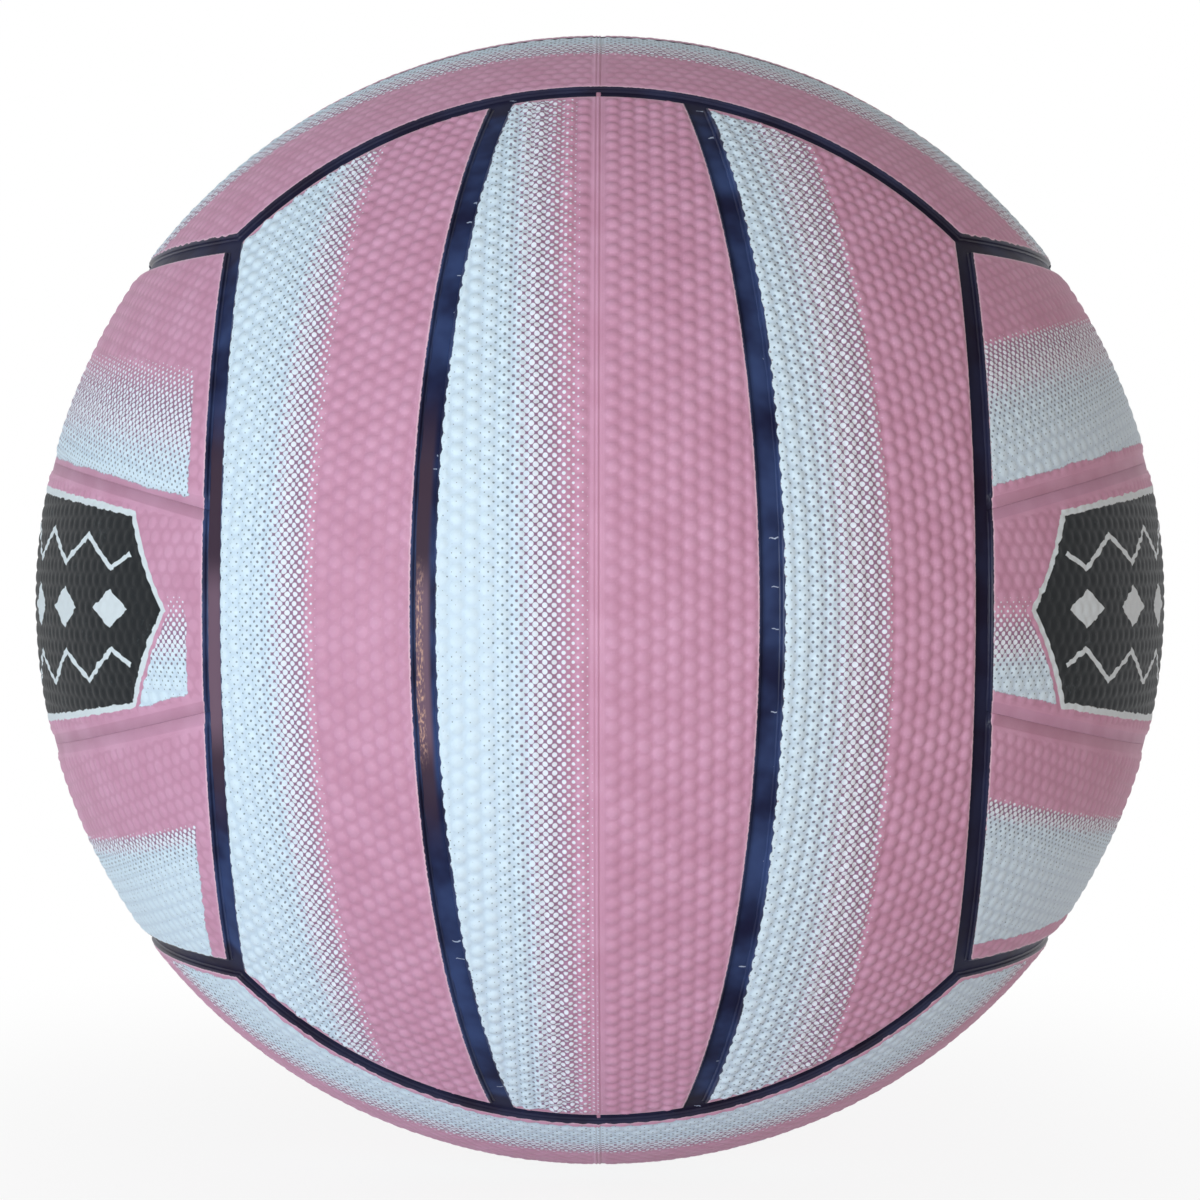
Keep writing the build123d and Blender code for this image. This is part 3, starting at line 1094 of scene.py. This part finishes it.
panel_print = printed_rubber("printed_rubber", badge=False)
badge_print = printed_rubber("badge_rubber", badge=True)
bonded_rubber = dusty_rubber("bonded_rubber", BONDED_PINK, BONDED_DUST)
blanks = {}
for face, (_, _, places) in FACES.items():
    for side, place in zip(SIDES, places):
        parting = PARTING_WAYS.get(face)
        if face in UPRIGHT_FACES and side != 0:
            parting = None
        kind = (side, parting, (face, side) == VALVE_PLACE, face in SIDE_FACES)
        if kind not in blanks:
            blanks[kind] = panel_blank(*kind)
        mesh = blanks[kind].copy()
        mesh.name = f"{face}_{place}_cover"
        dress_panel(mesh, face, side)
        face_print = badge_print if face in SIDE_FACES and side == 0 else panel_print
        show(mesh, mesh.name, (face_print, bonded_rubber), "ball", "cover_rubber", f"{face}_{place}_panel")
for blank in blanks.values():
    bpy.data.meshes.remove(blank)

# Valve plug
# A round moulded insert of soft black rubber, pushed into the housing and replaceable. The needle
# goes in through the small hole in its head, and the rubber closes again behind it.
plug_low, plug_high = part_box("valve_plug")
PLUG_HEAD_RADIUS = plug_high.x
PLUG_STEM_RADIUS = 2.6 * MM
PLUG_STEM_LENGTH = 15 * MM
PLUG_TIP_CHAMFER = 0.8 * MM
PLUG_DISH = 0.18 * MM
PLUG_LIP = 0.7 * MM
PLUG_SLOPE = 0.28 * MM
PLUG_GROOVE = 0.15 * MM
PLUG_GROOVES = 4
PLUG_ROUND = 0.12 * MM
PLUG_ROUND_STEPS = 3
PLUG_STEPS = 64
NEEDLE_RADIUS = 1.05 * MM
NEEDLE_DEPTH = 12 * MM
NEEDLE_LEAD_IN = 0.4 * MM
PLUG_RUBBER = (30, 31, 33)
PLUG_DUST = (70, 70, 72)

shoulder = plug_low.y + PLUG_STEM_LENGTH
outline = [(0, plug_low.y), (PLUG_STEM_RADIUS - PLUG_TIP_CHAMFER, plug_low.y)]
outline.append((PLUG_STEM_RADIUS, plug_low.y + PLUG_TIP_CHAMFER))
for groove in range(PLUG_GROOVES):
    middle = plug_low.y + (groove + 1) * PLUG_STEM_LENGTH / (PLUG_GROOVES + 1)
    outline.append((PLUG_STEM_RADIUS, middle - 2 * PLUG_GROOVE))
    outline.append((PLUG_STEM_RADIUS - PLUG_GROOVE, middle))
    outline.append((PLUG_STEM_RADIUS, middle + 2 * PLUG_GROOVE))
outline += [(PLUG_STEM_RADIUS, shoulder), (PLUG_HEAD_RADIUS, shoulder), (PLUG_HEAD_RADIUS, plug_high.y)]
outline.append((PLUG_HEAD_RADIUS - PLUG_LIP, plug_high.y))
outline.append((PLUG_HEAD_RADIUS - PLUG_LIP - PLUG_SLOPE, plug_high.y - PLUG_DISH))
outline.append((NEEDLE_RADIUS + NEEDLE_LEAD_IN, plug_high.y - PLUG_DISH))
outline.append((NEEDLE_RADIUS, plug_high.y - PLUG_DISH - NEEDLE_LEAD_IN))
outline += [(NEEDLE_RADIUS, plug_high.y - NEEDLE_DEPTH), (0, plug_high.y - NEEDLE_DEPTH)]

turned = bmesh.new()
corners = [turned.verts.new((radius, height, 0)) for radius, height in outline]
profile = [turned.edges.new(pair) for pair in zip(corners, corners[1:])]
bmesh.ops.spin(
    turned,
    geom=corners + profile,
    cent=(0, 0, 0),
    axis=(0, 1, 0),
    angle=2 * pi,
    steps=PLUG_STEPS,
    use_merge=True,
)
bmesh.ops.remove_doubles(turned, verts=turned.verts, dist=SAME_PLACE)
bmesh.ops.recalc_face_normals(turned, faces=turned.faces)


def head_corner(edge):
    """True for a ring at the corners of the plug's head or the mouth of its needle hole."""
    first, second = edge.verts
    level = abs(first.co.y - second.co.y) < SAME_PLACE
    widening = abs(first.co.xz.length - second.co.xz.length)
    return level and widening < SAME_PLACE and first.co.y > shoulder - SAME_PLACE


bmesh.ops.bevel(
    turned,
    geom=[edge for edge in turned.edges if head_corner(edge)],
    offset=PLUG_ROUND,
    segments=PLUG_ROUND_STEPS,
    profile=0.5,
    affect="EDGES",
    material=-1,
)
plug_mesh = finished(turned, "rubber_valve_plug")
plug_mesh.shade_smooth()
plug_rubber = dusty_rubber("valve_plug_rubber", PLUG_RUBBER, PLUG_DUST)
show(plug_mesh, "rubber_valve_plug", [plug_rubber], "valve_plug", "valve_rubber", "valve_plug")

# Floor, light and camera
# A plain pale floor under the ball, a soft lamp like a window at the front left, a weaker warm one
# at the front right and one behind. The camera looks at the front from a little above the middle.
FLOOR_HALF = 6.0
FLOOR_CELLS = 8
FLOOR_COLOUR = display(240, 240, 240)
FLOOR_ROUGH = 0.9
FLOOR_GLOW = 0.88
SHADOW_REACH = (0.06, 0.26)
BACKDROP = {"Color": (1, 1, 1, 1), "Strength": 1}
SKY_COLOUR = (1, 0.95, 0.92, 1)
SKY_STRENGTH = 0.25
CAMERA_DISTANCE = 4.5 * BALL_RADIUS
CAMERA_RISE = radians(1.2)
CAMERA_TURN = radians(0.24)
CAMERA_LENS = 74.5
CAMERA_SENSOR = 36
CAMERA_CLIP = 0.01

# Each lamp: its place and its size in metres, its power in watts, and its colour
LAMPS = {
    "window_lamp": ((-0.62, -1.1, 0), (0.5, 0.2), 9.8, (0.92, 1, 1.01)),
    "fill_lamp": ((0.85, -0.95, 0.02), (0.9, 0.24), 2.8, (1, 0.8, 0.64)),
    "back_lamp": ((0.3, 1.25, 0.1), (0.9, 0.24), 8, (1, 1, 1)),
}

ground = bmesh.new()
bmesh.ops.create_grid(ground, x_segments=FLOOR_CELLS, y_segments=FLOOR_CELLS, size=FLOOR_HALF)
bmesh.ops.translate(ground, vec=(0, 0, -BALL_RADIUS), verts=ground.verts)
floor_mesh = finished(ground, "floor")
floor = put_in_scene("floor", floor_mesh)


def show_backdrop(tree, kind, lit, share, output):
    """Shows plain white to the camera, also in metal and glass, over what the light meets."""
    rays = add_node(tree, "LightPath", {})
    seen = maths(tree, "ADD", rays.outputs["Is Camera Ray"], rays.outputs["Is Glossy Ray"])
    seen = maths(tree, "MINIMUM", maths(tree, "ADD", seen, rays.outputs["Is Transmission Ray"]), 1)
    seen = product(tree, seen, share)
    white = add_node(tree, kind, BACKDROP)
    mix = add_node(tree, "MixShader", {0: seen, 1: lit.outputs[0], 2: white.outputs[0]})
    tree.links.new(mix.outputs[0], tree.nodes[output].inputs["Surface"])


def pale_floor(name):
    """A matt white floor that shows to the camera as white, with the ball's shadow on it."""
    material, tree, shader = new_material(name)
    shader.inputs["Base Color"].default_value = FLOOR_COLOUR
    shader.inputs["Roughness"].default_value = FLOOR_ROUGH
    flat = vectors(tree, "LENGTH", flat_place(tree, *parts_of(tree, own_place(tree))[:2]))
    share = mixed(tree, rise(tree, flat.outputs["Value"], *SHADOW_REACH), FLOOR_GLOW, 1)
    show_backdrop(tree, "Emission", shader, share, "Material Output")
    return material


floor_mesh.materials.append(pale_floor("pale_floor"))

world = bpy.data.worlds.new("studio")
world.use_nodes = True
bpy.context.scene.world = world
sky_light = world.node_tree.nodes["Background"]
sky_light.inputs["Color"].default_value = SKY_COLOUR
sky_light.inputs["Strength"].default_value = SKY_STRENGTH
show_backdrop(world.node_tree, "Background", sky_light, 1, "World Output")


def soft_lamp(name, place, size, power, colour):
    """A wide soft lamp that looks at the middle of the ball."""
    light = bpy.data.lights.new(name, "AREA")
    light.shape = "RECTANGLE"
    light.size, light.size_y = size
    light.energy = power
    light.color = colour
    lamp = put_in_scene(name, light)
    lamp.location = place
    lamp.rotation_euler = (-Vector(place)).to_track_quat("-Z", "Y").to_euler()


for name, lamp in LAMPS.items():
    soft_lamp(name, *lamp)
bpy.data.objects["back_lamp"].visible_glossy = False

lens = bpy.data.cameras.new("camera")
lens.sensor_width = CAMERA_SENSOR
lens.lens = CAMERA_LENS
lens.clip_start = CAMERA_CLIP
camera = put_in_scene("camera", lens)
back = Vector((sin(CAMERA_TURN) * cos(CAMERA_RISE), -cos(CAMERA_TURN) * cos(CAMERA_RISE), sin(CAMERA_RISE)))
camera.location = back * CAMERA_DISTANCE
camera.rotation_euler = (-back).to_track_quat("-Z", "Y").to_euler()
bpy.context.scene.camera = camera
bpy.context.scene.view_settings.view_transform = "Standard"
